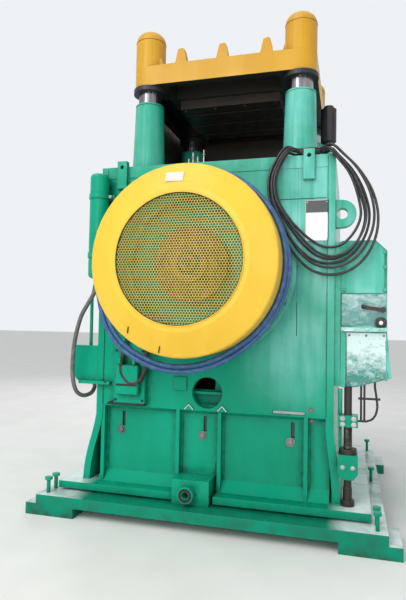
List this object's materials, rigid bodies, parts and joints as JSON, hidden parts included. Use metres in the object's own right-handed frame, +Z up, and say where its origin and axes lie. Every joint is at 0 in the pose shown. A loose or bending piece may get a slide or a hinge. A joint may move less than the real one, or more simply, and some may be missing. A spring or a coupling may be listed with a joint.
{
  "type": "four-post underdrive press",
  "caption": "Floor-standing press: a yellow crown on guide posts is pulled down by a crank drive in a green bed frame, with a round flywheel guard at the front.",
  "frame": {"origin": "on the floor, in the middle of the press's outline from guard front to base rear", "axes": "+Z up, -Y towards the flywheel guard at the front, +X to the right seen from the front, towards the feed drive box"},
  "size_m": [2.04, 2.2, 2.9703],
  "materials": {
    "green_enamel": "thick turquoise-green gloss enamel",
    "yellow_enamel": "warm yellow enamel, rubbed and oily at the edges",
    "machined_steel": "ground and oiled",
    "dark_steel": "dark, oily machined iron",
    "bronze": "bored bearing bronze",
    "rusty_iron": "rust-brown",
    "blue_enamel": "dark blue-grey paint",
    "blue_rubber": "smooth blue hose cover",
    "black_rubber": "black cable sheath",
    "brown_rubber": "oily brown-black hose",
    "grey_rubber": "grey hose cover"
  },
  "bodies": {
    "bed": {"base_plate": "green_enamel", "bed_frame": "green_enamel", "drain_stub": "green_enamel", "bolster_plate": "dark_steel", "counterbalance_cylinder": "dark_steel", "bearing_hanger_front": "green_enamel", "bearing_hanger_rear": "green_enamel", "main_bush_front": "bronze", "main_bush_rear": "bronze", "quill": "green_enamel", "flywheel_guard": "yellow_enamel", "guard_mesh": "yellow_enamel", "rear_cover": "green_enamel", "rear_guard": "dark_steel", "valve_manifold": "green_enamel", "side_valve_box": "green_enamel", "air_tank": "green_enamel", "feed_drive_box": "green_enamel", "feed_box_cover": "green_enamel", "jack_screw": "dark_steel", "jack_block": "green_enamel", "jack_clamp": "green_enamel", "lubricator_post": "green_enamel", "lubricator_reservoir": "blue_enamel", "blue_hose_coil": "blue_rubber", "cable_coil": "black_rubber", "clutch_hose": "brown_rubber", "air_pipe": "green_enamel", "drain_hose": "grey_rubber", "lube_line": "black_rubber", "guide_sleeve_front_left": "green_enamel", "guide_bush_front_left": "bronze", "guide_sleeve_front_right": "green_enamel", "guide_bush_front_right": "bronze", "guide_sleeve_rear_left": "green_enamel", "guide_bush_rear_left": "bronze", "guide_sleeve_rear_right": "green_enamel", "guide_bush_rear_right": "bronze"},
    "ram": {"crown": "yellow_enamel", "ram_plate": "dark_steel", "yoke_crosshead": "dark_steel", "counterbalance_rod": "machined_steel", "guide_post_front_left": "machined_steel", "guide_post_front_right": "machined_steel", "guide_post_rear_left": "machined_steel", "guide_post_rear_right": "machined_steel", "post_cap_front_left": "yellow_enamel", "post_cap_front_right": "yellow_enamel", "post_cap_rear_left": "yellow_enamel", "post_cap_rear_right": "yellow_enamel"},
    "crank": {"crankshaft": "machined_steel", "clutch_hub": "rusty_iron"},
    "block": {"slide_block": "bronze"},
    "flywheel_set": {"flywheel": "green_enamel", "flywheel_bush": "bronze"},
    "lever": {"control_lever": "dark_steel"},
    "knob": {"selector_knob": "dark_steel"},
    "jack_nut": {"jack_collar": "dark_steel"}
  },
  "joints": [
    {"name": "ram_slide", "type": "slide", "parent": "bed", "child": "ram", "axis": [0, 0, -1], "range_m": [0, 0.075]},
    {"name": "crank_turn", "type": "hinge", "parent": "bed", "child": "crank", "pos_m": [0, 0.2, 1.405], "axis": [0, 1, 0], "range_deg": [0, 180]},
    {"name": "block_turn", "type": "hinge", "parent": "crank", "child": "block", "pos_m": [0, 0.2, 1.4425], "axis": [0, 1, 0], "range_deg": [-180, 0]},
    {"name": "flywheel_spin", "type": "hinge", "parent": "bed", "child": "flywheel_set", "pos_m": [0, -0.8, 1.405], "axis": [0, 1, 0], "continuous": true},
    {"name": "lever_swing", "type": "hinge", "parent": "bed", "child": "lever", "pos_m": [0.935, -0.472, 1.196], "axis": [0, 1, 0], "range_deg": [-25, 25]},
    {"name": "knob_turn", "type": "hinge", "parent": "bed", "child": "knob", "pos_m": [0.925, -0.472, 1.128], "axis": [0, 1, 0], "range_deg": [-60, 60]},
    {"name": "collar_turn", "type": "hinge", "parent": "bed", "child": "jack_nut", "pos_m": [0.762, -0.48, 0.4383], "axis": [0, 0, 1], "continuous": true}
  ],
  "couplings": [
    {"joint": "crank_turn", "follows": "ram_slide", "rad_per_m": 41.888},
    {"joint": "block_turn", "follows": "ram_slide", "rad_per_m": -41.888}
  ]
}
